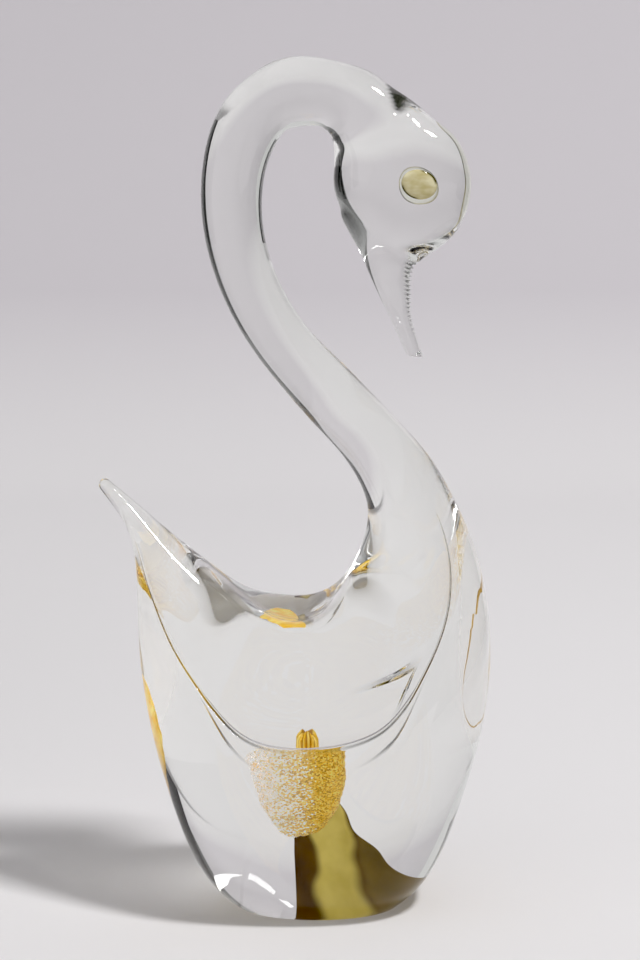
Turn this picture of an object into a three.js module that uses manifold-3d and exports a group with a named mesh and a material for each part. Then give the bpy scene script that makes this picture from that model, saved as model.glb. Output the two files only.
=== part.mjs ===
// Clear glass swan figurine, drawn hot from one solid gather: a flat-based body with folded wings and
// a pulled tail, a long neck bent into an S, a round head and a pinched bill. Two amber glass eyes are
// pressed into the head. Millimetres. +Z is up, +X points from the tail to the chest, +Y to the swan's
// left, and the ground base stands on Z = 0.

import * as THREE from "three";
import { ParametricGeometry } from "three/addons/geometries/ParametricGeometry.js";
import { mergeVertices } from "three/addons/utils/BufferGeometryUtils.js";
import Module from "manifold-3d";

// Lines plan of the tail, body and shoulders. Each row is one cross-section, from the back to the belly:
// back x, z; belly x, z; half of the width across; share of the section that the wing covers.
const BODY_SECTIONS = [
  [-65.8, 152.3, -68.7, 149.0, 2.2, 0.86],
  [-56.0, 144.0, -62.1, 139.7, 5.2, 0.86],
  [-46.6, 135.6, -58.2, 131.0, 9.0, 0.84],
  [-38.0, 128.4, -56.6, 121.0, 13.2, 0.82],
  [-29.6, 122.0, -56.2, 107.0, 17.8, 0.73],
  [-21.8, 116.6, -55.4, 88.0, 23.2, 0.63],
  [-14.5, 112.8, -51.5, 62.0, 29.8, 0.525],
  [-8.0, 110.8, -43.5, 33.5, 36.4, 0.47],
  [-2.0, 110.0, -28.5, 5.0, 40.6, 0.435],
  [4.0, 110.4, 8.5, -10.0, 42.0, 0.415],
  [10.0, 113.0, 44.0, 5.5, 41.0, 0.435],
  [15.2, 117.2, 58.2, 34.0, 37.2, 0.48],
  [19.8, 122.6, 66.2, 62.0, 31.5, 0.525],
  [23.4, 129.6, 69.2, 88.0, 26.0, 0.6],
  [25.3, 137.4, 68.0, 108.0, 21.5, 0.66],
  [24.9, 145.4, 63.6, 127.5, 18.0, 0.705],
  [21.4, 153.8, 57.0, 143.4, 15.6, 0.72],
  [15.6, 162.4, 48.2, 159.2, 14.0, 0.68],
  [8.2, 170.6, 35.0, 174.6, 12.8, 0.62],
];

// Middle line of the neck, from the shoulders to the crook, and its thickness there
const NECK_LINE = [
  [10.6, 184.2, 21.9],
  [-3.6, 200.0, 20.1],
  [-13.6, 215.9, 20.1],
  [-20.0, 233.0, 20.4],
  [-22.1, 250.3, 21.2],
  [-20.2, 266.0, 22.2],
  [-13.7, 279.6, 22.6],
  [-5.2, 286.0, 23.4],
  [4.3, 287.8, 24.2],
];

// Head: a flattened ball, fanned out from the throat
const HEAD_CENTRE = new THREE.Vector2(33.6, 255.5);
const HEAD_RADIUS = 27.2;
const HEAD_FROM = 62;
const HEAD_TO = -64;
const HEAD_SECTIONS = 7;
const HEAD_HALF_WIDTH = 17.4;
const HEAD_BULGE_FROM = 0.32;
const HEAD_BULGE_TO = 0.78;
const THROAT_TOP = new THREE.Vector2(13.4, 267.0);
const THROAT_BOTTOM = new THREE.Vector2(16.6, 243.2);
const THROAT_HOLLOW = 1.6;

// Nape: the two sections between the crook and the head's ball
const NAPE_SECTIONS = [
  [18.8, 296.9, 10.6, 274.6, 12.2],
  [34.6, 290.2, 12.8, 271.2, 13.2],
];

// Bill: a straight taper, cut off square at its tip
const BILL_ROOT = { top: [41.4, 227.0], under: [20.8, 235.6], half: 9.2 };
const BILL_TIP = { top: [44.4, 196.3], under: [38.7, 197.0], half: 4.6 };
const BILL_SECTIONS = 5;
const BILL_SAG = 2.2;
const BILL_TIP_BULGE = 0.5;

// Carving. Each reach holds the sections where it starts, is fullest and ends.
const WING_LIP = 1.4;
const WING_LIP_SLOPE = 0.09;
const WING_REACH = [1.5, 8, 17];
const SADDLE_DIP = 7.0;
const SADDLE_SQUARENESS = 0.5;
const SADDLE_RIM = 0.88;
const SADDLE_REACH = [1.5, 8.5, 14];
const BELLY_SQUARENESS = 0.86;
const BELLY_REACH = [6, 9, 13];
const CHEEK_SQUARENESS = 0.55;
const CHEEK_REACH = [27, 32.5, 36];
const CROWN_NOTCH = 1.6;
const CROWN_NOTCH_SPREAD = 0.8;
const CROWN_NOTCH_ANGLE = 1.3;

// Eyes: flat drops of amber glass, half sunk in the sides of the head
const EYE_PLACE = new THREE.Vector2(42.2, 256.3);
const EYE_SIZE = new THREE.Vector3(12.4, 4.4, 10.2);
const EYE_GAP = 0.3;
const EYE_SLICES = 18;
const EYE_STACKS = 10;

// Fineness of the solid
const RING_SPACING = 9.4;
const WING_STEPS = 9;
const LIP_STEPS = 2;
const BELLY_STEPS = 8;
const FLANK_STEPS = WING_STEPS + LIP_STEPS + BELLY_STEPS;
const TIP_RINGS = 3;

// Side of the block that cuts the base flat
const CUTTER_SIDE = 200;

const { clamp, lerp, smoothstep, degToRad } = THREE.MathUtils;

// A curve through rows of values with no kink in its slope or its bend: a natural cubic spline.
class SmoothRows {
  constructor(rows, distance) {
    this.rows = rows;
    this.knots = [0];
    for (let i = 1; i < rows.length; i++) {
      this.knots.push(this.knots[i - 1] + distance(rows[i - 1], rows[i]));
    }
    this.bends = rows[0].map((_, column) => this.solveBends(column));
  }

  solveBends(column) {
    const { rows, knots } = this;
    const last = rows.length - 1;
    const slope = (i) => (rows[i + 1][column] - rows[i][column]) / (knots[i + 1] - knots[i]);
    const bends = new Array(last + 1).fill(0);
    const carry = new Array(last + 1).fill(0);
    for (let i = 1; i < last; i++) {
      const before = knots[i] - knots[i - 1];
      const after = knots[i + 1] - knots[i];
      const pivot = 2 * (before + after) - before * carry[i - 1];
      carry[i] = after / pivot;
      bends[i] = (6 * (slope(i) - slope(i - 1)) - before * bends[i - 1]) / pivot;
    }
    for (let i = last - 1; i > 0; i--) bends[i] -= carry[i] * bends[i + 1];
    return bends;
  }

  // The row at a place along the curve, counted in spans
  at(place) {
    const i = Math.min(Math.floor(place), this.rows.length - 2);
    const f = place - i;
    const span = this.knots[i + 1] - this.knots[i];
    return this.rows[i].map((value, column) => {
      const pull = (share, bend) => ((share ** 3 - share) * bend * span * span) / 6;
      const straight = lerp(value, this.rows[i + 1][column], f);
      return straight + pull(1 - f, this.bends[column][i]) + pull(f, this.bends[column][i + 1]);
    });
  }
}

// Round sections square across the neck's middle line
function neckSections() {
  const line = NECK_LINE.map(([x, z]) => new THREE.Vector2(x, z));
  return NECK_LINE.map(([x, z, thickness], i) => {
    const ahead = line[Math.min(i + 1, line.length - 1)];
    const behind = line[Math.max(i - 1, 0)];
    const along = ahead.clone().sub(behind).normalize();
    const across = new THREE.Vector2(along.y, -along.x).multiplyScalar(thickness / 2);
    return [x - across.x, z - across.y, x + across.x, z + across.y, thickness / 2];
  });
}

// Sections fanned from the throat to the rim of the head's ball
function headSections() {
  return Array.from({ length: HEAD_SECTIONS }, (_, i) => {
    const share = i / (HEAD_SECTIONS - 1);
    const angle = degToRad(lerp(HEAD_FROM, HEAD_TO, share));
    const throat = THROAT_TOP.clone().lerp(THROAT_BOTTOM, share);
    const bulge = Math.sin(Math.PI * lerp(HEAD_BULGE_FROM, HEAD_BULGE_TO, share));
    return [
      HEAD_CENTRE.x + HEAD_RADIUS * Math.cos(angle),
      HEAD_CENTRE.y + HEAD_RADIUS * Math.sin(angle),
      throat.x - THROAT_HOLLOW * Math.sin(Math.PI * share) ** 2,
      throat.y,
      HEAD_HALF_WIDTH * bulge,
    ];
  });
}

// Sections of the bill, straight below and a little hollow on top
function billSections() {
  return Array.from({ length: BILL_SECTIONS }, (_, i) => {
    const share = i / (BILL_SECTIONS - 1);
    const sag = BILL_SAG * Math.sin(Math.PI * share);
    return [
      lerp(BILL_ROOT.top[0], BILL_TIP.top[0], share) - sag,
      lerp(BILL_ROOT.top[1], BILL_TIP.top[1], share),
      lerp(BILL_ROOT.under[0], BILL_TIP.under[0], share),
      lerp(BILL_ROOT.under[1], BILL_TIP.under[1], share),
      lerp(BILL_ROOT.half, BILL_TIP.half, share),
    ];
  });
}

// Every section from the tail's tip to the bill's tip. Past the shoulders the wing's edge has no lip.
const shoulderWing = BODY_SECTIONS.at(-1)[5];
const upperSections = [...neckSections(), ...NAPE_SECTIONS, ...headSections(), ...billSections()];
const sections = [...BODY_SECTIONS, ...upperSections.map((section) => [...section, shoulderWing])];
const napeAt = BODY_SECTIONS.length + NECK_LINE.length + 1;
const lastSection = sections.length - 1;
const middleGap = (a, b) => Math.hypot(a[0] + a[2] - b[0] - b[2], a[1] + a[3] - b[1] - b[3]) / 2;
const lines = new SmoothRows(sections, middleGap);

// A hump along the swan, in sections: nothing before its start and after its end, one at its peak
function hump(place, [start, peak, end]) {
  return place < peak ? smoothstep(place, start, peak) : 1 - smoothstep(place, peak, end);
}

function wingAngle(wing) {
  return Math.acos(1 - 2 * wing);
}

function saddleSquareness(place) {
  return lerp(1, SADDLE_SQUARENESS, hump(place, SADDLE_REACH));
}

// A point of the glass: place along the swan in sections, angle from the back (0) to the belly (pi),
// side 1 for the swan's left and -1 for its right
function glassPoint(place, angle, side, target) {
  const [backX, backZ, bellyX, bellyZ, half, wing] = lines.at(place);
  const length = Math.hypot(bellyX - backX, bellyZ - backZ);

  // The plain section: round, but squarer over the saddle, fuller under the belly and flat on the cheeks
  const fullness = lerp(1, BELLY_SQUARENESS, hump(place, BELLY_REACH));
  const roundness = lerp(saddleSquareness(place), fullness, smoothstep(angle, 0.2 * Math.PI, 0.6 * Math.PI));
  const cheek = hump(place, CHEEK_REACH) * (1 - smoothstep(angle, 0.5 * Math.PI, 0.85 * Math.PI));
  const power = lerp(roundness, CHEEK_SQUARENESS, cheek);
  const cosine = Math.cos(angle);
  let out = half * Math.max(Math.sin(angle), 0) ** power;
  let down = (1 - Math.sign(cosine) * Math.abs(cosine) ** power) / 2;

  // The hollow between the wings and the notch across the crown
  if (cosine > 0) {
    const inside = Math.max(1 - (out / (SADDLE_RIM * half)) ** 2, 0) ** 2;
    const dip = SADDLE_DIP * hump(place, SADDLE_REACH) ** 2 * inside;
    const reach = [napeAt - CROWN_NOTCH_SPREAD, napeAt, napeAt + CROWN_NOTCH_SPREAD];
    const notch = CROWN_NOTCH * hump(place, reach) * (1 - smoothstep(angle, 0, CROWN_NOTCH_ANGLE));
    down += (dip + notch) / length;
  }

  // The belly steps in under the wing's lip and comes out again towards the base
  const edge = wingAngle(wing);
  const under = smoothstep(angle, edge, edge + WING_LIP_SLOPE);
  const outAgain = smoothstep(angle, edge + WING_LIP_SLOPE, 0.97 * Math.PI);
  out -= WING_LIP * hump(place, WING_REACH) * under * (1 - outAgain);
  target.set(lerp(backX, bellyX, down), side * out, lerp(backZ, bellyZ, down));
}

// Steps of one flank from the back to the belly, drawn together at the wing's lip
function flankAngle(place, share) {
  const edge = wingAngle(lines.at(place)[5]);
  const step = share * FLANK_STEPS;
  if (step <= WING_STEPS) return edge * (step / WING_STEPS) ** (1 / saddleSquareness(place));
  if (step <= WING_STEPS + LIP_STEPS) return edge + (WING_LIP_SLOPE * (step - WING_STEPS)) / LIP_STEPS;
  return lerp(edge + WING_LIP_SLOPE, Math.PI, (step - WING_STEPS - LIP_STEPS) / BELLY_STEPS);
}

// Places of the rings along the swan, as close as the longer of its back and its belly needs
function ringPlaces() {
  const places = [0];
  for (let i = 0; i < lastSection; i++) {
    const [a, b] = [sections[i], sections[i + 1]];
    const backStep = Math.hypot(b[0] - a[0], b[1] - a[1]);
    const bellyStep = Math.hypot(b[2] - a[2], b[3] - a[3]);
    const steps = Math.ceil(Math.max(backStep, bellyStep) / RING_SPACING);
    for (let step = 1; step <= steps; step++) places.push(i + step / steps);
  }
  return places;
}

// The middle of a section, between its back and its belly
function middleOf(place) {
  const [backX, backZ, bellyX, bellyZ] = lines.at(place);
  return new THREE.Vector3((backX + bellyX) / 2, 0, (backZ + bellyZ) / 2);
}

// Both ends close on their own middle: the tail's tip in a half ball, the bill's tip nearly square
function glassSurface() {
  const places = ringPlaces();
  const stacks = places.length - 1 + 2 * TIP_RINGS;
  const tail = { end: middleOf(0), bulge: BODY_SECTIONS[0][4] };
  const bill = { end: middleOf(lastSection), bulge: BILL_TIP_BULGE };
  tail.ahead = tail.end.clone().sub(middleOf(0.5)).normalize();
  bill.ahead = bill.end.clone().sub(middleOf(lastSection - 0.5)).normalize();
  return new ParametricGeometry((along, around, target) => {
    const ring = Math.round(along * stacks) - TIP_RINGS;
    const place = places[clamp(ring, 0, places.length - 1)];
    const left = around <= 0.5;
    const share = left ? 2 * around : 2 - 2 * around;
    glassPoint(place, flankAngle(place, share), left ? 1 : -1, target);
    const beyond = Math.max(-ring, ring - places.length + 1, 0) / TIP_RINGS;
    if (beyond > 0) {
      const tip = ring < 0 ? tail : bill;
      const turn = (beyond * Math.PI) / 2;
      target.lerp(tip.end, 1 - Math.cos(turn)).addScaledVector(tip.ahead, tip.bulge * Math.sin(turn));
    }
  }, stacks, 2 * FLANK_STEPS);
}

const wasm = await Module();
wasm.setup();

// A closed geometry as a solid, without the flat triangles at its poles
function solidFrom(geometry) {
  const bare = new THREE.BufferGeometry().setAttribute("position", geometry.getAttribute("position"));
  if (geometry.index) bare.setIndex(geometry.index);
  const merged = mergeVertices(bare, 1e-3);
  const corners = merged.index.array;
  const kept = [];
  for (let i = 0; i < corners.length; i += 3) {
    const [a, b, c] = corners.slice(i, i + 3);
    if (a !== b && b !== c && c !== a) kept.push(a, b, c);
  }
  return new wasm.Manifold(new wasm.Mesh({
    numProp: 3,
    vertProperties: new Float32Array(merged.getAttribute("position").array),
    triVerts: new Uint32Array(kept),
  }));
}

function geometryFrom(solid) {
  const mesh = solid.getMesh();
  const positions = new Float32Array(mesh.numVert * 3);
  for (let i = 0; i < mesh.numVert; i++) {
    positions.set(mesh.vertProperties.subarray(i * mesh.numProp, i * mesh.numProp + 3), i * 3);
  }
  const geometry = new THREE.BufferGeometry();
  geometry.setAttribute("position", new THREE.BufferAttribute(positions, 3));
  geometry.setIndex(new THREE.BufferAttribute(mesh.triVerts, 1));
  geometry.computeVertexNormals();
  return geometry;
}

// The eye's drop, on the middle of its own place, grown by a gap where it is used to cut its socket
function eyeDrop(side, grown = 0) {
  const drop = new THREE.SphereGeometry(0.5, EYE_SLICES, EYE_STACKS);
  drop.scale(EYE_SIZE.x + 2 * grown, EYE_SIZE.y + 2 * grown, EYE_SIZE.z + 2 * grown);
  drop.translate(EYE_PLACE.x, side * headHalfWidthAtEye(), EYE_PLACE.y);
  return drop;
}

// Half of the head's width where the eyes sit
function headHalfWidthAtEye() {
  const probe = new THREE.Vector3();
  let best = { gap: Infinity, out: 0 };
  for (let place = napeAt; place < lastSection; place += 0.1) {
    for (let angle = 0.1; angle < Math.PI; angle += 0.05) {
      glassPoint(place, angle, 1, probe);
      const gap = Math.hypot(probe.x - EYE_PLACE.x, probe.z - EYE_PLACE.y);
      if (gap < best.gap) best = { gap, out: probe.y };
    }
  }
  return best.out;
}

// The glass, ground flat under its base and hollowed for the eyes
function glassSwan() {
  const cutter = new THREE.BoxGeometry(CUTTER_SIDE, CUTTER_SIDE, CUTTER_SIDE);
  cutter.translate(0, 0, -CUTTER_SIDE / 2);
  let glass = solidFrom(glassSurface()).subtract(solidFrom(cutter));
  for (const side of [-1, 1]) glass = glass.subtract(solidFrom(eyeDrop(side, EYE_GAP)));
  return geometryFrom(glass);
}

const clearGlass = new THREE.MeshStandardMaterial({
  color: 0xf4f6f3,
  roughness: 0.02,
  metalness: 0,
  transparent: true,
  opacity: 0.35,
});
const amberGlass = new THREE.MeshStandardMaterial({ color: 0xb8a253, roughness: 0.08, metalness: 0 });

function named(name, geometry, material) {
  const mesh = new THREE.Mesh(geometry, material);
  mesh.name = name;
  return mesh;
}

const swan = new THREE.Group();
swan.add(named("glass_swan", glassSwan(), clearGlass));
swan.add(named("right_eye", eyeDrop(-1), amberGlass));
swan.add(named("left_eye", eyeDrop(1), amberGlass));

export default swan;
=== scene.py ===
"""Looks of the glass swan figurine: clear glass, amber eyes, the gold leaf sealed in it, and the stage."""

import math

import bmesh
import bpy
from mathutils import Euler, Matrix, Vector, noise


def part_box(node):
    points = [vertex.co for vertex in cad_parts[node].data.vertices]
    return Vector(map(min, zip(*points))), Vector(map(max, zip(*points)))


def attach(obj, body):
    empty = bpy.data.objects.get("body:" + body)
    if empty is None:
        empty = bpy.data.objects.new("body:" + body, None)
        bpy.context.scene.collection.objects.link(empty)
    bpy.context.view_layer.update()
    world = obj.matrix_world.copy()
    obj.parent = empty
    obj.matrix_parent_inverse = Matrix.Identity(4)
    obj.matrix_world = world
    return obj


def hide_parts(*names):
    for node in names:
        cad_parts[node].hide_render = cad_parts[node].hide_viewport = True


bl_info = {
    "name": "Glass swan figurine",
    "version": (1, 0, 0),
    "blender": (4, 5, 0),
    "location": "View3D > Sidebar > Glass Swan",
    "description": "Builds a solid clear glass swan with amber eyes and a sealed gold-leaf core",
    "category": "Object",
}

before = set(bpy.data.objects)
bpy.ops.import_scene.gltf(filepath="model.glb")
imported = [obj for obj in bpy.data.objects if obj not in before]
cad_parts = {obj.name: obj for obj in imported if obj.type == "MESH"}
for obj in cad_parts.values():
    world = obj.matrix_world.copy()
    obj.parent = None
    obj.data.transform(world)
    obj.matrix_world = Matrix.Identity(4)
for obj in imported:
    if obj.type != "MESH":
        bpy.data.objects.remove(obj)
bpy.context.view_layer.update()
MM = 0.001

# Lines plan of the tail, body and shoulders, in millimetres. Each row is one cross-section, from the back
# to the belly: back x, z; belly x, z; half of the width across; share of the section that the wing covers.
BODY_SECTIONS = [
    [-65.8, 152.3, -68.7, 149.0, 2.2, 0.86],
    [-56.0, 144.0, -62.1, 139.7, 5.2, 0.86],
    [-46.6, 135.6, -58.2, 131.0, 9.0, 0.84],
    [-38.0, 128.4, -56.6, 121.0, 13.2, 0.82],
    [-29.6, 122.0, -56.2, 107.0, 17.8, 0.73],
    [-21.8, 116.6, -55.4, 88.0, 23.2, 0.63],
    [-14.5, 112.8, -51.5, 62.0, 29.8, 0.525],
    [-8.0, 110.8, -43.5, 33.5, 36.4, 0.47],
    [-2.0, 110.0, -28.5, 5.0, 40.6, 0.435],
    [4.0, 110.4, 8.5, -10.0, 42.0, 0.415],
    [10.0, 113.0, 44.0, 5.5, 41.0, 0.435],
    [15.2, 117.2, 58.2, 34.0, 37.2, 0.48],
    [19.8, 122.6, 66.2, 62.0, 31.5, 0.525],
    [23.4, 129.6, 69.2, 88.0, 26.0, 0.6],
    [25.3, 137.4, 68.0, 108.0, 21.5, 0.66],
    [24.9, 145.4, 63.6, 127.5, 18.0, 0.705],
    [21.4, 153.8, 57.0, 143.4, 15.6, 0.72],
    [15.6, 162.4, 48.2, 159.2, 14.0, 0.68],
    [8.2, 170.6, 35.0, 174.6, 12.8, 0.62],
]

# Middle line of the neck, x and z, and its thickness there
NECK_LINE = [
    [10.6, 184.2, 21.9],
    [-3.6, 200.0, 20.1],
    [-13.6, 215.9, 20.1],
    [-20.0, 233.0, 20.4],
    [-22.1, 250.3, 21.2],
    [-20.2, 266.0, 22.2],
    [-13.7, 279.6, 22.6],
    [-5.2, 286.0, 23.4],
    [4.3, 287.8, 24.2],
]

# The two sections between the crook and the head's ball: back x, z; belly x, z; half of the width
NAPE_SECTIONS = [
    [18.8, 296.9, 10.6, 274.6, 12.2],
    [34.6, 290.2, 12.8, 271.2, 13.2],
]

# Head: a flattened ball, fanned out from the throat
HEAD_CENTRE = (33.6, 255.5)
HEAD_RADIUS = 27.2
HEAD_FROM = 62
HEAD_TO = -64
HEAD_SECTIONS = 7
HEAD_HALF_WIDTH = 17.4
HEAD_BULGE_FROM = 0.32
HEAD_BULGE_TO = 0.78
THROAT_TOP = (13.4, 267.0)
THROAT_BOTTOM = (16.6, 243.2)
THROAT_HOLLOW = 1.6

# Bill: back x, z; belly x, z; half of the width, at its root and at its tip
BILL_ROOT = [41.4, 227.0, 20.8, 235.6, 9.2]
BILL_TIP = [44.4, 196.3, 38.7, 197.0, 4.6]
BILL_SECTIONS = 5
BILL_SAG = 2.2
BILL_TIP_BULGE = 0.5

# Reaches of the carving: the sections where each starts, is fullest and ends
WING_REACH = (1.5, 8, 17)
SADDLE_REACH = (1.5, 8.5, 14)
BELLY_REACH = (6, 9, 13)
CHEEK_REACH = (27, 32.5, 36)
FOLD_REACH = (5.8, 8.8, 12.4)
FOLD_DEPTH_REACHES = ((6.0, 7.0, 8.2), (9.6, 10.6, 12.3))
FAR_CREASE_REACH = (9.5, 10.4, 11.3)
CREASE_GAP = (7.3, 8.8, 10.3)

# Squareness of the sections, where 1 is round, and the angles from the back over which it changes
SADDLE_SQUARENESS = 0.5
SADDLE_RIM = 0.88
BELLY_SQUARENESS = 0.86
BELLY_BLEND = (0.2 * math.pi, 0.6 * math.pi)
CHEEK_SQUARENESS = 0.55
CHEEK_FADE = (0.5 * math.pi, 0.85 * math.pi)

# The wing's edge, in angles: its lip on the near and the far side, where the belly is full again, the fold
WING_LIP_SLOPE = 0.034
FAR_LIP_SLOPE = 0.25
BELLY_FULL = 0.97 * math.pi
FOLD_GAP = 0.004
FOLD_SLOPE = 0.018
FOLD_SPREAD = 0.08

# The crease deepens over this share of the wing's reach, and the far one has this share of its depth
CREASE_FADE = 0.3
FAR_CREASE_DEPTH = 0.7

# Notch across the crown: how far it spreads in sections and in angle
CROWN_NOTCH_SPREAD = 0.8
CROWN_NOTCH_ANGLE = 1.3

# Pinch on the crown: its place, the direction of the back there, its size along the back and below it, in
# millimetres; the sections that it may reach; how deep it is where its painted dark reflection starts and is
# full; how far along the back that painted dark pales, and to what share
CROWN_PINCH_PLACE = (37.7, 286.3)
CROWN_PINCH_ALONG = (0.873, -0.488)
CROWN_PINCH_SIZE = (8.2, 8.0)
CROWN_PINCH_SECTIONS = 4
CROWN_PINCH_DARK = (0.04, 0.2)
CROWN_PINCH_PALING = (1.0, 3.0)
CROWN_PINCH_PALEST = 0.5

# Fineness of the glass: millimetres between rings, steps of one flank, rings that close a tip, the sections
# from which a tip takes its aim, and the tolerances of the ground base in millimetres
BODY_RING = 2.4
NECK_RING = 2.6
HEAD_RING = 1.7
BILL_RING = 0.34
WING_STEPS = 24
LIP_STEPS = 10
FOLD_STEPS = 8
BELLY_STEPS = 20
FLANK_STEPS = WING_STEPS + LIP_STEPS + FOLD_STEPS + BELLY_STEPS
TIP_RINGS = 6
TIP_AIM = 0.5
CUT_TOLERANCE = 0.01
RIM_MERGE = 0.3
FLAT_TOLERANCE = 0.001


def lerp(a, b, share):
    return a + (b - a) * share


def smoothstep(x, low, high):
    share = min(max((x - low) / (high - low), 0.0), 1.0)
    return share * share * (3 - 2 * share)


def hump(place, reach):
    """Nothing before the reach starts and after it ends, one at its peak."""
    start, peak, end = reach
    return smoothstep(place, start, peak) if place < peak else 1 - smoothstep(place, peak, end)


class SmoothRows:
    """A curve through rows of values with no kink in its slope or its bend: a natural cubic spline."""

    def __init__(self, rows, distance):
        self.rows = rows
        self.knots = [0.0]
        for before, after in zip(rows, rows[1:]):
            self.knots.append(self.knots[-1] + distance(before, after))
        self.bends = [self.solve_bends(column) for column in range(len(rows[0]))]

    def solve_bends(self, column):
        rows, knots, last = self.rows, self.knots, len(self.rows) - 1
        slopes = [(rows[i + 1][column] - rows[i][column]) / (knots[i + 1] - knots[i]) for i in range(last)]
        bends, carry = [0.0] * (last + 1), [0.0] * (last + 1)
        for i in range(1, last):
            before, after = knots[i] - knots[i - 1], knots[i + 1] - knots[i]
            pivot = 2 * (before + after) - before * carry[i - 1]
            carry[i] = after / pivot
            bends[i] = (6 * (slopes[i] - slopes[i - 1]) - before * bends[i - 1]) / pivot
        for i in range(last - 1, 0, -1):
            bends[i] -= carry[i] * bends[i + 1]
        return bends

    def at(self, place):
        """The row at a place along the curve, counted in spans."""
        i = min(int(place), len(self.rows) - 2)
        f = place - i
        pull = (self.knots[i + 1] - self.knots[i]) ** 2 / 6
        before, after = ((1 - f) ** 3 - (1 - f)) * pull, (f ** 3 - f) * pull
        return [
            lerp(a, b, f) + before * bends[i] + after * bends[i + 1]
            for a, b, bends in zip(self.rows[i], self.rows[i + 1], self.bends)
        ]


def neck_sections():
    """Round sections square across the neck's middle line."""
    sections = []
    for i, (x, z, thickness) in enumerate(NECK_LINE):
        ahead, behind = NECK_LINE[min(i + 1, len(NECK_LINE) - 1)], NECK_LINE[max(i - 1, 0)]
        along = Vector((ahead[0] - behind[0], ahead[1] - behind[1])).normalized()
        across = Vector((along.y, -along.x)) * thickness / 2
        sections.append([x - across.x, z - across.y, x + across.x, z + across.y, thickness / 2])
    return sections


def head_sections():
    """Sections fanned from the throat to the rim of the head's ball."""
    sections = []
    for i in range(HEAD_SECTIONS):
        share = i / (HEAD_SECTIONS - 1)
        angle = math.radians(lerp(HEAD_FROM, HEAD_TO, share))
        bulge = math.sin(math.pi * lerp(HEAD_BULGE_FROM, HEAD_BULGE_TO, share))
        sections.append([
            HEAD_CENTRE[0] + HEAD_RADIUS * math.cos(angle),
            HEAD_CENTRE[1] + HEAD_RADIUS * math.sin(angle),
            lerp(THROAT_TOP[0], THROAT_BOTTOM[0], share) - THROAT_HOLLOW * math.sin(math.pi * share) ** 2,
            lerp(THROAT_TOP[1], THROAT_BOTTOM[1], share),
            HEAD_HALF_WIDTH * bulge,
        ])
    return sections


def bill_sections():
    """Sections of the bill, straight below and a little hollow on top."""
    sections = []
    for i in range(BILL_SECTIONS):
        share = i / (BILL_SECTIONS - 1)
        section = [lerp(root, tip, share) for root, tip in zip(BILL_ROOT, BILL_TIP)]
        section[0] -= BILL_SAG * math.sin(math.pi * share)
        sections.append(section)
    return sections


def middle_gap(a, b):
    return math.hypot(a[0] + a[2] - b[0] - b[2], a[1] + a[3] - b[1] - b[3]) / 2


UPPER_SECTIONS = neck_sections() + NAPE_SECTIONS + head_sections() + bill_sections()
SECTIONS = BODY_SECTIONS + [section + [BODY_SECTIONS[-1][5]] for section in UPPER_SECTIONS]
LAST = len(SECTIONS) - 1
NAPE_AT = len(BODY_SECTIONS) + len(NECK_LINE) + 1
HEAD_AT = NAPE_AT - 1
BILL_AT = LAST - BILL_SECTIONS + 1
LINES = SmoothRows(SECTIONS, middle_gap)

# Crimps on the bill: the sections where they start and fade, the angles where they end, where their pitch is
# counted between back and belly, their share of depth sideways, how deep a tooth is where its painted dark
# reflection starts and is full, and how dark that is. Their pitch is a little coarser than the real one, so
# that it shows.
CRIMP_START = (BILL_AT - 0.6, BILL_AT - 0.1)
CRIMP_FADE = (BILL_AT + 2.0, BILL_AT + 3.2)
CRIMP_ANGLES = (0.5, 1.0)
CRIMP_LEVEL = 0.3
CRIMP_SIDEWAYS = 0.6
CRIMP_DARK = (0.25, 0.75)
CRIMP_SHADE = 0.85


def wing_angle(wing):
    return math.acos(1 - 2 * wing)


def fold_angle(place, wing):
    """The angle of the fine fold that parts from the wing's edge towards the middle of the body."""
    return wing_angle(wing) + WING_LIP_SLOPE + FOLD_GAP + FOLD_SPREAD * hump(place, FOLD_REACH)


def groove(angle, start, width):
    """A round-bottomed groove across an angle, one at its deepest."""
    return math.sin(math.pi * min(max((angle - start) / width, 0.0), 1.0)) ** 2


def saddle_squareness(place):
    return lerp(1, SADDLE_SQUARENESS, hump(place, SADDLE_REACH))


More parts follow.
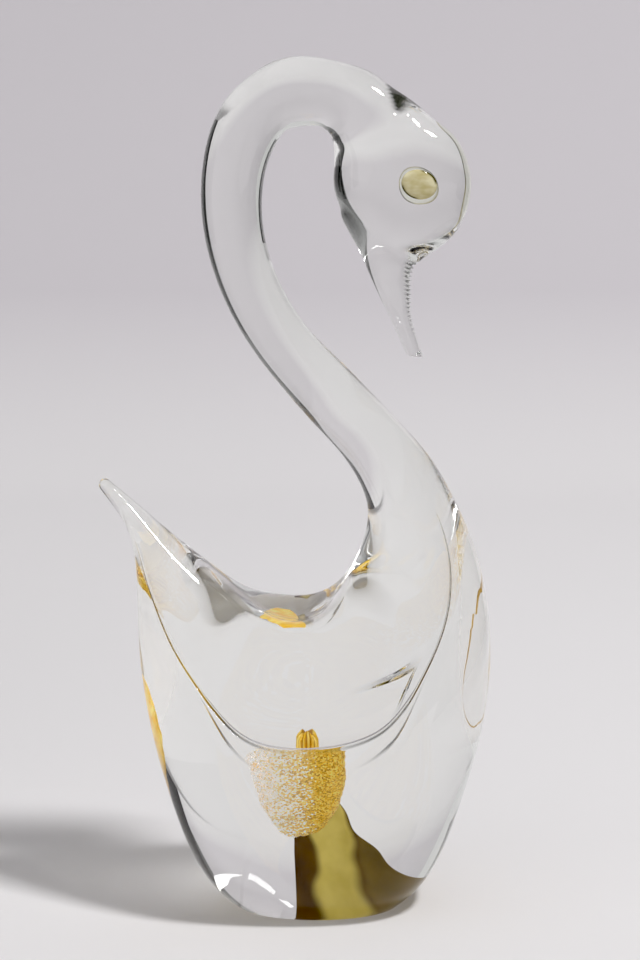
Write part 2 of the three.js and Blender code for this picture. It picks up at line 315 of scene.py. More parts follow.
def glass_point(place, row, angle, side, glass):
    """A point of the glass in millimetres, and how much painted dark reflection its tool marks get there.

    place counts sections along the swan, row is the section there, angle goes from the back (0) to the belly
    (pi), and side is 1 on the swan's left and -1 on its right.
    """
    back_x, back_z, belly_x, belly_z, half, wing = row
    length = math.hypot(belly_x - back_x, belly_z - back_z)

    # The plain section: round, but squarer over the saddle, fuller under the belly and flat on the cheeks
    fullness = lerp(1, BELLY_SQUARENESS, hump(place, BELLY_REACH))
    power = lerp(saddle_squareness(place), fullness, smoothstep(angle, *BELLY_BLEND))
    cheek = hump(place, CHEEK_REACH) * (1 - smoothstep(angle, *CHEEK_FADE))
    power = lerp(power, CHEEK_SQUARENESS, cheek)
    cosine = math.cos(angle)
    out = half * max(math.sin(angle), 0.0) ** power
    down = (1 - math.copysign(abs(cosine) ** power, cosine)) / 2

    # The hollow between the wings and the notch across the crown
    if cosine > 0:
        inside = max(1 - (out / (SADDLE_RIM * half)) ** 2, 0.0) ** 2
        dip = glass.saddle_dip / MM * hump(place, SADDLE_REACH) ** 2 * inside
        reach = (NAPE_AT - CROWN_NOTCH_SPREAD, NAPE_AT, NAPE_AT + CROWN_NOTCH_SPREAD)
        notch = glass.crown_notch / MM * hump(place, reach) * (1 - smoothstep(angle, 0, CROWN_NOTCH_ANGLE))
        down += (dip + notch) / length

    # The belly steps in under the wing's lip and comes out again towards the base. The far lip is worn soft.
    edge, fold = wing_angle(wing), fold_angle(place, wing)
    slope = WING_LIP_SLOPE if side < 0 else FAR_LIP_SLOPE
    under = smoothstep(angle, edge - slope / 2, edge + slope / 2)
    out_again = smoothstep(angle, edge + slope / 2, BELLY_FULL)
    out -= glass.wing_lip / MM * hump(place, WING_REACH) * under * (1 - out_again)

    # The crease under the wing's edge, on the far side only near the chest, and the near side's fine fold;
    # their walls get a painted dark reflection, which leaves out the near crease over the middle of the body
    if side < 0:
        reach = smoothstep(hump(place, WING_REACH), 0, CREASE_FADE)
        half_slope = WING_LIP_SLOPE / 2
        walls = groove(angle, edge, half_slope) + groove(angle, edge + half_slope, half_slope)
        mark = reach * walls * (1 - hump(place, CREASE_GAP))
        fold_reach = sum(hump(place, part) for part in FOLD_DEPTH_REACHES)
        out -= glass.wing_fold / MM * fold_reach * groove(angle, fold, FOLD_SLOPE)
        mark += fold_reach * groove(angle, fold, FOLD_SLOPE)
    else:
        reach = FAR_CREASE_DEPTH * hump(place, FAR_CREASE_REACH)
        mark = reach * groove(angle, edge, WING_LIP_SLOPE)
    out -= glass.wing_crease / MM * reach * groove(angle, edge, WING_LIP_SLOPE)

    # The pinch on the near side of the crown: a pyramid cut in from the back's line, with a painted dark
    # reflection in its middle that pales further along the back
    if side < 0 and abs(place - NAPE_AT) < CROWN_PINCH_SECTIONS:
        x = lerp(back_x, belly_x, down) - CROWN_PINCH_PLACE[0]
        z = lerp(back_z, belly_z, down) - CROWN_PINCH_PLACE[1]
        along = CROWN_PINCH_ALONG[0] * x + CROWN_PINCH_ALONG[1] * z
        below = CROWN_PINCH_ALONG[1] * x - CROWN_PINCH_ALONG[0] * z
        pinch = max(1 - abs(along) / CROWN_PINCH_SIZE[0] - max(below, 0.0) / CROWN_PINCH_SIZE[1], 0.0)
        out *= 1 - glass.crown_pinch * pinch
        paling = lerp(1.0, CROWN_PINCH_PALEST, smoothstep(along, *CROWN_PINCH_PALING))
        mark += smoothstep(pinch, *CROWN_PINCH_DARK) * paling

    # Marks of the toothed pincers across the top of the bill, whose teeth get a painted dark reflection
    if place > BILL_AT - 1:
        along = (BILL_ROOT[1] - lerp(back_z, belly_z, CRIMP_LEVEL)) * MM / glass.crimp_pitch
        tooth = abs(2 * (along % 1.0) - 1)
        reach = smoothstep(place, *CRIMP_START) * (1 - smoothstep(place, *CRIMP_FADE))
        reach *= 1 - smoothstep(angle, *CRIMP_ANGLES)
        dent = glass.crimp_depth / MM * tooth * reach
        down += dent / length
        out -= dent * CRIMP_SIDEWAYS * math.sin(angle)
        mark += CRIMP_SHADE * smoothstep(tooth, *CRIMP_DARK) * reach
    return Vector((lerp(back_x, belly_x, down), side * out, lerp(back_z, belly_z, down))), min(mark, 1.0)


def flank_angle(place, row, step):
    """The angle of a step of one flank, from the back to the belly, drawn together at the wing's lip."""
    edge = wing_angle(row[5])
    if step <= WING_STEPS:
        return edge * (step / WING_STEPS) ** (1 / saddle_squareness(place))
    step -= WING_STEPS
    if step <= LIP_STEPS:
        return edge + WING_LIP_SLOPE * step / LIP_STEPS
    step -= LIP_STEPS
    fold = fold_angle(place, row[5])
    if step <= FOLD_STEPS:
        return fold + FOLD_SLOPE * (step - 1) / (FOLD_STEPS - 1)
    return lerp(fold + FOLD_SLOPE, math.pi, (step - FOLD_STEPS) / BELLY_STEPS)


def ring_places():
    """Places of the rings along the swan, as close as the longer of its back and its belly needs."""
    places = [0.0]
    for i, (a, b) in enumerate(zip(SECTIONS, SECTIONS[1:])):
        longest = max(math.hypot(b[0] - a[0], b[1] - a[1]), math.hypot(b[2] - a[2], b[3] - a[3]))
        spacing = BODY_RING
        if i >= len(BODY_SECTIONS) - 1:
            spacing = NECK_RING
        if i >= HEAD_AT - 1:
            spacing = HEAD_RING
        if i >= BILL_AT - 1:
            spacing = BILL_RING
        steps = math.ceil(longest / spacing)
        places += [i + (step + 1) / steps for step in range(steps)]
    return places


def ring_points(place, glass):
    """The points and marks of one ring, from the back down the swan's left flank and up its right one."""
    row = LINES.at(place)
    angles = [flank_angle(place, row, step) for step in range(FLANK_STEPS + 1)]
    left = [glass_point(place, row, angle, 1, glass) for angle in angles]
    right = [glass_point(place, row, angle, -1, glass) for angle in angles[-2:0:-1]]
    return left + right


def middle_of(place):
    back_x, back_z, belly_x, belly_z = LINES.at(place)[:4]
    return Vector(((back_x + belly_x) / 2, 0, (back_z + belly_z) / 2))


def tip_rings(place, inner, bulge, glass):
    """Rings that close one end of the swan, from its last section to its tip."""
    points = ring_points(place, glass)
    end = middle_of(place)
    ahead = (end - middle_of(inner)).normalized() * bulge
    rings = []
    for step in range(1, TIP_RINGS + 1):
        turn = math.pi / 2 * step / TIP_RINGS
        inward, onward = 1 - math.cos(turn), ahead * math.sin(turn)
        rings.append([(point.lerp(end, inward) + onward, mark) for point, mark in points])
    return rings


def extrude_ring(bm, ring):
    """Extrudes a ring of vertices and gives the new ring in the same order."""
    edges = [bm.edges.get((a, b)) for a, b in zip(ring, ring[1:] + ring[:1])]
    made = bmesh.ops.extrude_edge_only(bm, edges=edges)
    new = {v for v in made["geom"] if isinstance(v, bmesh.types.BMVert)}
    return [next(e.other_vert(v) for e in v.link_edges if e.other_vert(v) in new) for v in ring]


def linear(hex_colour):
    """An sRGB hex colour as linear values."""
    parts = [int(hex_colour[i:i + 2], 16) / 255 for i in (1, 3, 5)]
    return tuple(c / 12.92 if c <= 0.04045 else ((c + 0.055) / 1.055) ** 2.4 for c in parts)


def opaque(colour):
    """A colour with its alpha, as a socket takes it."""
    return (*colour, 1.0)


def add_node(tree, kind, links=(), inputs=(), stops=(), **settings):
    """Adds a node with its settings, the values of its sockets, its links as (socket, from node, from
    socket) and the stops of a colour ramp as (position, colour)."""
    node = tree.nodes.new(kind)
    for name, value in settings.items():
        setattr(node, name, value)
    for socket, value in dict(inputs).items():
        node.inputs[socket].default_value = value
    for socket, source, output in links:
        tree.links.new(source.outputs[output], node.inputs[socket])
    if stops:
        elements = node.color_ramp.elements
        while len(elements) < len(stops):
            elements.new(0.5)
        for element, (position, colour) in zip(elements, stops):
            element.position, element.color = position, opaque(colour)
    return node


def new_material(name):
    """An empty material and its node tree."""
    material = bpy.data.materials.new(name)
    material.use_nodes = True
    material.node_tree.nodes.clear()
    return material, material.node_tree


def add_surface(tree, links=(), inputs=()):
    """Ends a material with a principled shader that has these links and values."""
    shader = add_node(tree, "ShaderNodeBsdfPrincipled", links, inputs)
    add_node(tree, "ShaderNodeOutputMaterial", [("Surface", shader, "BSDF")])


# Numbers of the sockets with which a mix node mixes colours
MIX_FIRST = 6
MIX_SECOND = 7
MIX_RESULT = 2

# Sizes of the patterns, in millimetres: slow waves of the glass, streaks of the eyes and the stem, clouds of
# the sheets and the film
GLASS_WAVE = 16
EYE_STREAK = 3
STEM_STREAK = 1.5
SHEET_CLOUD = 5
FILM_CLOUD = 6

# Where the core turns to bubbles, then to clear glass, in shares of its width from its middle, and how much
# The paler, bubbly side is partly the leaf's own bubbles and partly painted light from the left
BUBBLES_FROM = 0.2
BUBBLES_TO = -0.4
BUBBLES_MOST = 0.75
CLEAR_FROM = -0.22
CLEAR_TO = -0.5
CLEAR_MOST = 0.9


def clear_glass(glass):
    """Solid soda-lime glass with a fire-polished skin: water-clear, with the slow waves of hand-worked
    glass. The walls of the tool marks are dark, which stands in for the dark studio that they reflect."""
    material, tree = new_material("clear_glass_fire_polished")
    mark = add_node(tree, "ShaderNodeAttribute", attribute_name="mark")
    colour = add_node(tree, "ShaderNodeMix", [("Factor", mark, "Fac")], {
        MIX_FIRST: opaque(glass.tint), MIX_SECOND: opaque(glass.mark)}, data_type="RGBA")
    place = add_node(tree, "ShaderNodeTexCoord")
    waves = add_node(tree, "ShaderNodeTexNoise", [("Vector", place, "Object")], {
        "Scale": 1 / (GLASS_WAVE * MM), "Detail": 0.5})
    bump = add_node(tree, "ShaderNodeBump", [("Height", waves, "Fac")], {
        "Strength": 0.012, "Distance": 1 * MM})
    add_surface(tree, [("Base Color", colour, MIX_RESULT), ("Normal", bump, "Normal")], {
        "Transmission Weight": 1.0, "IOR": glass.ior, "Roughness": 0.0})
    return material


def amber_glass(eyes):
    """Olive amber glass, pressed on as a hot drop: cloudy streaks, a wet gloss and a painted shade line where
    its rim turns. Its pale back glows, which stands in for the light that comes through the drop."""
    material, tree = new_material("amber_glass_pressed_drop")
    place = add_node(tree, "ShaderNodeTexCoord")
    stretch = add_node(tree, "ShaderNodeMapping", [("Vector", place, "Object")], {"Scale": (0.5, 1.0, 1.0)})
    streaks = add_node(tree, "ShaderNodeTexNoise", [("Vector", stretch, "Vector")], {
        "Scale": 1 / (EYE_STREAK * MM), "Detail": 2.0})
    cloud = add_node(tree, "ShaderNodeValToRGB", [("Fac", streaks, "Fac")], stops=[
        (0.35, eyes.deep), (0.65, eyes.pale)])
    rim = add_node(tree, "ShaderNodeAttribute", attribute_name="rim")
    face = add_node(tree, "ShaderNodeMix", [("Factor", rim, "Fac"), (MIX_FIRST, cloud, "Color")], {
        MIX_SECOND: opaque(eyes.line)}, data_type="RGBA")
    back = add_node(tree, "ShaderNodeAttribute", attribute_name="back")
    colour = add_node(tree, "ShaderNodeMix", [("Factor", back, "Fac"), (MIX_FIRST, face, MIX_RESULT)], {
        MIX_SECOND: opaque(eyes.back)}, data_type="RGBA")
    glow = add_node(tree, "ShaderNodeMapRange", [("Value", back, "Fac")], {"To Max": eyes.glow})
    add_surface(tree, [
        ("Base Color", colour, MIX_RESULT), ("Emission Color", colour, MIX_RESULT),
        ("Emission Strength", glow, "Result"),
    ], {"IOR": 1.52, "Roughness": 0.06})
    return material


def gold_leaf(core):
    """Gold leaf that broke up in the hot glass: crumbs of metal that turn to white bubbles, then to clear
    glass, on one side; that side's paleness is partly painted light from the left. A little emission stands
    in for the light that the bubbles scatter."""
    material, tree = new_material("gold_leaf_broken_in_glass")
    middle, width = core.place[0], core.width
    place = add_node(tree, "ShaderNodeTexCoord")
    stretch = add_node(tree, "ShaderNodeMapping", [("Vector", place, "Object")], {"Scale": (0.7, 1.0, 1.3)})
    crumbs = add_node(tree, "ShaderNodeTexVoronoi", [("Vector", stretch, "Vector")], {
        "Scale": 1 / core.crumb})
    chance = add_node(tree, "ShaderNodeSeparateColor", [("Color", crumbs, "Color")])
    split = add_node(tree, "ShaderNodeSeparateXYZ", [("Vector", place, "Object")])
    bubbly_and_lit = add_node(tree, "ShaderNodeMapRange", [("Value", split, "X")], {
        "From Min": middle + BUBBLES_FROM * width, "From Max": middle + BUBBLES_TO * width,
        "To Max": BUBBLES_MOST})
    bubble = add_node(
        tree, "ShaderNodeMath", [(0, chance, "Red"), (1, bubbly_and_lit, "Result")], operation="LESS_THAN")
    leaf = add_node(tree, "ShaderNodeValToRGB", [("Fac", chance, "Green")], stops=[
        (0.0, core.leaf_deep), (0.5, core.leaf), (1.0, core.leaf_pale)])
    pale = add_node(tree, "ShaderNodeMix", [("Factor", bubbly_and_lit, "Result"), (MIX_FIRST, leaf, "Color")], {
        MIX_SECOND: opaque(core.champagne)}, data_type="RGBA")
    colour = add_node(tree, "ShaderNodeMix", [("Factor", bubble, "Value"), (MIX_FIRST, pale, MIX_RESULT)], {
        MIX_SECOND: opaque(core.bubble)}, data_type="RGBA")
    thin = add_node(tree, "ShaderNodeMapRange", [("Value", split, "X")], {
        "From Min": middle + CLEAR_FROM * width, "From Max": middle + CLEAR_TO * width,
        "To Max": CLEAR_MOST})
    solid = add_node(
        tree, "ShaderNodeMath", [(0, chance, "Blue"), (1, thin, "Result")], operation="GREATER_THAN")
    metal = add_node(tree, "ShaderNodeMapRange", [("Value", bubble, "Value")], {
        "To Min": 0.25, "To Max": 0.0})
    bump = add_node(tree, "ShaderNodeBump", [("Height", crumbs, "Distance")], {
        "Strength": 0.35, "Distance": 0.3 * MM})
    add_surface(tree, [
        ("Base Color", colour, MIX_RESULT), ("Emission Color", colour, MIX_RESULT),
        ("Alpha", solid, "Value"), ("Metallic", metal, "Result"), ("Normal", bump, "Normal"),
    ], {"Emission Strength": core.scatter, "Roughness": 0.35})
    return material


def gold_rod(core):
    """Gold leaf drawn out over a ribbed rod: smooth bright metal with streaks along the ribs, painted shade
    in the grooves between them and a painted glow.
    """
    material, tree = new_material("gold_leaf_drawn_on_rod")
    place = add_node(tree, "ShaderNodeTexCoord")
    stretch = add_node(tree, "ShaderNodeMapping", [("Vector", place, "Object")], {"Scale": (1.0, 1.0, 0.15)})
    streaks = add_node(tree, "ShaderNodeTexNoise", [("Vector", stretch, "Vector")], {
        "Scale": 1 / (STEM_STREAK * MM)})
    leaf = add_node(tree, "ShaderNodeValToRGB", [("Fac", streaks, "Fac")], stops=[
        (0.35, core.leaf), (0.6, core.leaf_pale)])
    rib = add_node(tree, "ShaderNodeAttribute", attribute_name="rib")
    colour = add_node(tree, "ShaderNodeMix", [("Factor", rib, "Fac"), (MIX_SECOND, leaf, "Color")], {
        MIX_FIRST: opaque(core.leaf_deep)}, data_type="RGBA")
    # Painted light: the emission stands in for light scattered in the leaf
    add_surface(tree, [("Base Color", colour, MIX_RESULT), ("Emission Color", colour, MIX_RESULT)], {
        "Emission Strength": core.scatter, "Metallic": 0.3, "Roughness": 0.25})
    return material


def gold_sheet(core):
    """Gold leaf laid flat in the glass, which paints the core's image where the glass bends it into view:
    satin gold, bright above and brown below."""
    material, tree = new_material("gold_sheet_painted_core_image")
    place = add_node(tree, "ShaderNodeTexCoord")
    cloud = add_node(tree, "ShaderNodeTexNoise", [("Vector", place, "Object")], {
        "Scale": 1 / (SHEET_CLOUD * MM), "Detail": 3.0})
    split = add_node(tree, "ShaderNodeSeparateXYZ", [("Vector", place, "Object")])
    rise = add_node(tree, "ShaderNodeMapRange", [("Value", split, "Z")], {
        "From Min": SHEET_BROWN[0] * MM, "From Max": SHEET_BROWN[1] * MM})
    bright = add_node(tree, "ShaderNodeValToRGB", [("Fac", cloud, "Fac")], stops=[
        (0.35, core.leaf), (0.7, core.leaf_pale)])
    brown = add_node(tree, "ShaderNodeValToRGB", [("Fac", cloud, "Fac")], stops=[
        (0.3, core.film_brown), (0.7, core.leaf_deep)])
    colour = add_node(tree, "ShaderNodeMix", [
        ("Factor", rise, "Result"), (MIX_FIRST, brown, "Color"), (MIX_SECOND, bright, "Color"),
    ], data_type="RGBA")
    # Painted light: the emission, twice that of the other leaf, stands in for light scattered in it
    add_surface(tree, [("Base Color", colour, MIX_RESULT), ("Emission Color", colour, MIX_RESULT)], {
        "Emission Strength": 2 * core.scatter, "Roughness": 0.45, "Specular IOR Level": 0.2})
    return material


def painted_core_reflection_film(core):
    """Gold leaf thinned to a film in the glass, which paints the core's reflection in the ground base: smooth
    olive gold where it faces the light, dark amber where it folds away, as painted light and shade."""
    material, tree = new_material("painted_core_reflection_film_gold")
    place = add_node(tree, "ShaderNodeTexCoord")
    cloud = add_node(tree, "ShaderNodeTexNoise", [("Vector", place, "Object")], {
        "Scale": 1 / (FILM_CLOUD * MM), "Detail": 2.0})
    dark = add_node(tree, "ShaderNodeValToRGB", [("Fac", cloud, "Fac")], stops=[
        (0.3, core.film_dark), (0.7, core.film_brown)])
    light = add_node(tree, "ShaderNodeValToRGB", [("Fac", cloud, "Fac")], stops=[
        (0.3, core.film_olive), (0.7, core.film_pale)])
    fold = add_node(tree, "ShaderNodeAttribute", attribute_name="fold")
    colour = add_node(tree, "ShaderNodeMix", [
        ("Factor", fold, "Fac"), (MIX_FIRST, dark, "Color"), (MIX_SECOND, light, "Color"),
    ], data_type="RGBA")
    # Painted light: the emission stands in for light scattered in the leaf
    add_surface(tree, [("Base Color", colour, MIX_RESULT), ("Emission Color", colour, MIX_RESULT)], {
        "Emission Strength": core.scatter, "Roughness": 0.5, "Specular IOR Level": 0.1})
    return material


def finish_mesh(name, bm, material):
    """Makes the bmesh a smooth object of that name."""
    bmesh.ops.recalc_face_normals(bm, faces=bm.faces[:])
    mesh = bpy.data.meshes.new(name)
    bm.to_mesh(mesh)
    bm.free()
    mesh.shade_smooth()
    mesh.materials.append(material)
    thing = bpy.data.objects.new(name, mesh)
    bpy.context.scene.collection.objects.link(thing)
    return thing


def length_setting(name, description, millimetres):
    """A setting that holds a size, with its default in millimetres."""
    return bpy.props.FloatProperty(
        name=name, description=description, default=millimetres * MM, unit="LENGTH")


def colour_setting(name, description, hex_colour):
    """A setting that holds a colour, with its default as sRGB hex."""
    return bpy.props.FloatVectorProperty(
        name=name, description=description, default=linear(hex_colour), subtype="COLOR")


class GlassSettings(bpy.types.PropertyGroup):
    """Carving and colour of the clear glass."""

    saddle_dip: length_setting("Saddle dip", "Depth of the hollow between the wings", 7.0)
    wing_lip: length_setting("Wing lip", "Step from the wing down to the belly", 0.6)
    wing_crease: length_setting("Wing crease", "Depth of the groove under the wing's edge", 1.6)
    wing_fold: length_setting("Wing fold", "Depth of the fine fold below the crease", 0.9)
    crown_notch: length_setting("Crown notch", "Depth of the notch behind the crown", 1.6)
    crown_pinch: bpy.props.FloatProperty(
        name="Crown pinch", description="Share of the width that the pinch takes", default=0.75,
        subtype="FACTOR")
    crimp_pitch: length_setting("Crimp pitch", "Distance between the tool marks on the bill", 1.6)
    crimp_depth: length_setting("Crimp depth", "Depth of the tool marks on the bill", 1.2)
    base_bevel: length_setting("Base bevel", "Width of the polished edge round the base", 1.0)
    ior: bpy.props.FloatProperty(
        name="Index of refraction", description="Index of refraction of the glass", default=1.5)
    tint: colour_setting("Tint", "Colour of the clear glass", "#FBFCFA")
    # Painted dark reflection: colour of the walls of the tool marks, which stands in for the dark studio that
    # they reflect
    mark: colour_setting("Marks", "Colour of the walls of the tool marks", "#14160F")


class EyeSettings(bpy.types.PropertyGroup):
    """Shape and colour of the amber eyes."""

    scale: bpy.props.FloatProperty(
        name="Scale", description="Size of the drop against its socket", default=1.0, subtype="FACTOR")
    tilt: bpy.props.FloatProperty(
        name="Tilt", description="How far the oval leans towards the bill", default=math.radians(14),
        subtype="ANGLE")
    glow: bpy.props.FloatProperty(
        name="Glow", description="Light that comes through a drop to its back", default=0.45)
    pale: colour_setting("Pale streak", "Paler colour of the amber glass", "#DDD5B2")
    deep: colour_setting("Deep streak", "Deeper colour of the amber glass", "#BFB382")
    back: colour_setting("Back", "Pale seat in the clear glass", "#CFCDC8")
    # Painted shade: a dark line along the rim, which stands in for the dark that the drop's rim refracts
    line: colour_setting("Rim line", "Dark line along the rim", "#4A4413")


class CoreSettings(bpy.types.PropertyGroup):
    """Place, size and colours of the gold sealed in the body and of its painted images."""

    place: bpy.props.FloatVectorProperty(
        name="Place", description="Middle of the core's top", default=(1.0 * MM, -16.0 * MM, 60.5 * MM),
        subtype="TRANSLATION")
    width: length_setting("Width", "Width of the core's top", 33)
    height: length_setting("Height", "Height of the core", 30)
    front: length_setting("Front", "Reach to the front", 11)
    back: length_setting("Back", "Reach to the back", 11)
    lean: bpy.props.FloatProperty(
        name="Lean", description="Fall of the core's top to the back", default=0.3)
    scatter: bpy.props.FloatProperty(
        name="Scatter", description="Light scattered among the gold and the bubbles", default=0.22)
    crumb: length_setting("Crumb", "Size of the gold crumbs", 0.45)
    stem_width: length_setting("Stem width", "Width of the ribbed stem", 7.2)
    stem_shift: length_setting("Stem shift", "How far the stem stands off the core's middle", 3.2)
    stem_height: length_setting("Stem height", "Height of the ribbed stem", 7.5)
    stem_ribs: bpy.props.IntProperty(name="Stem ribs", description="Ribs round the stem", default=13, min=3)
    strip_width: length_setting("Strip width", "Width of the strip below the tail", 13.5)
    sheet_thickness: length_setting("Sheet thickness", "Thickness of the strip and the flake", 0.08)
    film_depth: length_setting("Film depth", "How far behind the middle the film hangs", 16)
    film_thickness: length_setting("Film thickness", "Thickness of the film", 0.5)
    leaf_pale: colour_setting("Pale leaf", "Brightest gold crumbs", "#FFE27A")
    leaf: colour_setting("Leaf", "Common gold crumbs", "#E9B81E")
    # The deep leaf also paints the shade in the stem's grooves
    leaf_deep: colour_setting("Deep leaf", "Darkest gold crumbs", "#B07C04")
    champagne: colour_setting("Champagne", "Leaf under the fine bubbles", "#F3E8C8")
    bubble: colour_setting("Bubbles", "White of the fine bubbles", "#FFFDF8")
    film_pale: colour_setting("Pale film", "Film that faces the light", "#CDBB64")
    film_olive: colour_setting("Olive film", "Clouds in the lit film", "#BBA850")
    film_brown: colour_setting("Brown film", "Film that folds away", "#5E4200")
    film_dark: colour_setting("Dark film", "Clouds in the folded film", "#3E2600")


class StageSettings(bpy.types.PropertyGroup):
    """Camera, lights and backdrop."""

    camera_place: bpy.props.FloatVectorProperty(
        name="Camera place", description="Where the camera stands", subtype="TRANSLATION",
        default=(8.585 * MM, -837.0 * MM, 277.47 * MM))
    camera_pitch: bpy.props.FloatProperty(
        name="Camera pitch", description="How far the camera looks down", default=math.radians(8.5),
        subtype="ANGLE")
    lens: bpy.props.FloatProperty(name="Lens", description="Focal length in millimetres", default=90.0)
    paper: colour_setting("Paper", "Colour of the paper on the floor", "#E2E0E1")
    # Painted shade: the same paper, coloured darker on the wall where less light reaches it
    paper_wall_shade: colour_setting("Paper wall", "Colour of the paper on the wall", "#CECACE")
    key_power: bpy.props.FloatProperty(
        name="Key power", description="Power of the softbox at the front right", default=55.0, unit="POWER")
    key_size: length_setting("Key size", "Side of the softbox at the front right", 360)
    key_place: bpy.props.FloatVectorProperty(
        name="Key place", description="Where the softbox hangs", default=(1.2, -0.7, 2.6),
        subtype="TRANSLATION")
    room: bpy.props.FloatProperty(
        name="Room", description="Brightness of the bright side of the room", default=0.57)
    front: bpy.props.FloatProperty(
        name="Front", description="Gain of the room behind the camera", default=1.35)


class GLASSSWAN_OT_glass(bpy.types.Operator):
    """Draws the clear glass swan and grinds its base flat"""

    bl_idname = "glass_swan.glass"
    bl_label = "Glass"

    def execute(self, context):
        glass = context.scene.swan_glass
        bm = bmesh.new()
        painted_dark_layer = bm.verts.layers.float.new("mark")
        ring = bmesh.ops.create_circle(bm, segments=2 * FLANK_STEPS, radius=1.0)["verts"]
        tail = tip_rings(0.0, TIP_AIM, BODY_SECTIONS[0][4], glass)[::-1]
        bill = tip_rings(LAST, LAST - TIP_AIM, BILL_TIP_BULGE, glass)
        rings = tail + [ring_points(place, glass) for place in ring_places()] + bill
        first = ring
        for number, points in enumerate(rings):
            if number:
                ring = extrude_ring(bm, ring)
            for vert, (point, mark) in zip(ring, points):
                vert.co = point * MM
                vert[painted_dark_layer] = mark
        for end, points in ((first, rings[0]), (ring, rings[-1])):
            bmesh.ops.pointmerge(bm, verts=end, merge_co=points[0][0] * MM)

        # Grind the base flat and polish its edge
        everything = bm.verts[:] + bm.edges[:] + bm.faces[:]
        cut = bmesh.ops.bisect_plane(
            bm, geom=everything, dist=CUT_TOLERANCE * MM, plane_co=(0, 0, 0), plane_no=(0, 0, 1),
            clear_inner=True)
        rim = [e for e in cut["geom_cut"] if isinstance(e, bmesh.types.BMEdge)]
        bmesh.ops.remove_doubles(bm, verts=list({v for e in rim for v in e.verts}), dist=RIM_MERGE * MM)
        bmesh.ops.edgeloop_fill(bm, edges=[e for e in bm.edges if e.is_boundary])
        rim = [e for e in bm.edges if all(abs(v.co.z) < FLAT_TOLERANCE * MM for v in e.verts)]
        bmesh.ops.bevel(
            bm, geom=rim, offset=glass.base_bevel, offset_type="OFFSET", segments=3, profile=0.5,
            affect="EDGES", material=-1, clamp_overlap=True)
        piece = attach(finish_mesh("swan_glass", bm, clear_glass(glass)), "root")
        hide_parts("glass_swan")
        return {"FINISHED"}


# Half of an eye's outline in shares of its half length and half depth, from the middle of its face to its
# back
EYE_OUTLINE = [
    (0, 1.0), (0.4, 0.97), (0.68, 0.88), (0.84, 0.77), (0.94, 0.62), (0.99, 0.46), (1, 0.34),
    (0.93, 0.14), (0.8, -0.04), (0.55, -0.22), (0.25, -0.31), (0, -0.34),
]

# In the same shares: the depth over which the pale back gives way to the face, and the width of the rim's
# painted shade line; then the line's turn round the rim, the fade of its ends, and the steps round the rim
EYE_BACK = (0.14, 0.32)
EYE_LINE = (0.84, 0.93)
EYE_LINE_TURN = 1.0
EYE_LINE_FADE = (0.0, 0.6)
EYE_STEPS = 48


class GLASSSWAN_OT_eyes(bpy.types.Operator):
    """Sets a drop of amber glass on each side of the head"""

    bl_idname = "glass_swan.eyes"
    bl_label = "Eyes"

    def execute(self, context):
        eyes = context.scene.swan_eyes
        material = amber_glass(eyes)
        for node, side in (("right_eye", -1), ("left_eye", 1)):
            low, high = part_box(node)
            size, middle = high - low, (low + high) / 2
            bm = bmesh.new()
            line = bm.verts.layers.float.new("rim")
            back = bm.verts.layers.float.new("back")
            verts = [bm.verts.new((x, side * y, 0)) for x, y in EYE_OUTLINE]
            edges = [bm.edges.new(pair) for pair in zip(verts, verts[1:])]
            bmesh.ops.spin(
                bm, geom=verts + edges, cent=(0, 0, 0), axis=(0, 1, 0), dvec=(0, 0, 0), angle=2 * math.pi,
                steps=EYE_STEPS, use_merge=True)
            bmesh.ops.remove_doubles(bm, verts=bm.verts[:], dist=1e-4)
            for vert in bm.verts:
                vert[back] = 1 - smoothstep(side * vert.co.y, *EYE_BACK)

                # The rim's painted shade line is dark above towards the bill and below towards the neck
                turn = math.atan2(vert.co.z, vert.co.x)
                ends = smoothstep(math.cos(2 * (turn - EYE_LINE_TURN)), *EYE_LINE_FADE)
                vert[line] = smoothstep(math.hypot(vert.co.x, vert.co.z), *EYE_LINE) * ends
            lean = Matrix.Rotation(eyes.tilt, 4, "Y")
            stretch = Matrix.Diagonal((*(size / 2 * eyes.scale), 1.0))
            bmesh.ops.transform(bm, verts=bm.verts[:], matrix=Matrix.Translation(middle) @ lean @ stretch)
            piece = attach(finish_mesh(node + "_drop", bm, material), "root")
            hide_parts(node)
            fine = piece.modifiers.new("fine", "SUBSURF")
            fine.levels = fine.render_levels = 2
        return {"FINISHED"}


# Core: how full its sides are towards the tail and the chest, how they taper, over which share of its height
# its top rounds off, the share of its size that its lumps and grains take, and its top's rise to the chest
CORE_FULLNESS = (1.7, 2.8)
CORE_TAPER = 0.6
CORE_EDGE = (-0.01, 0.06)
CORE_LUMPS = 0.06
CORE_GRAINS = 0.025
CORE_RISE = 0.03

# Stem: steps of each rib and levels; its root in the core and the waves of its top, in millimetres; in
# shares of its radius, the ribs' depth, the heights of groove and ridge between which the painted groove
# shade turns to bright gold, its narrow top and how much its edge rounds off; and from which share of its
# height
STEM_RIB_STEPS = 8
STEM_LEVELS = 14
STEM_ROOT = 1.5
STEM_WAVE = 0.5
STEM_RIB_DEPTH = 0.14
STEM_GROOVE = (0.88, 1.02)
STEM_TOP = 0.88
STEM_ROUNDING = 0.4
STEM_ROUND_FROM = 0.88

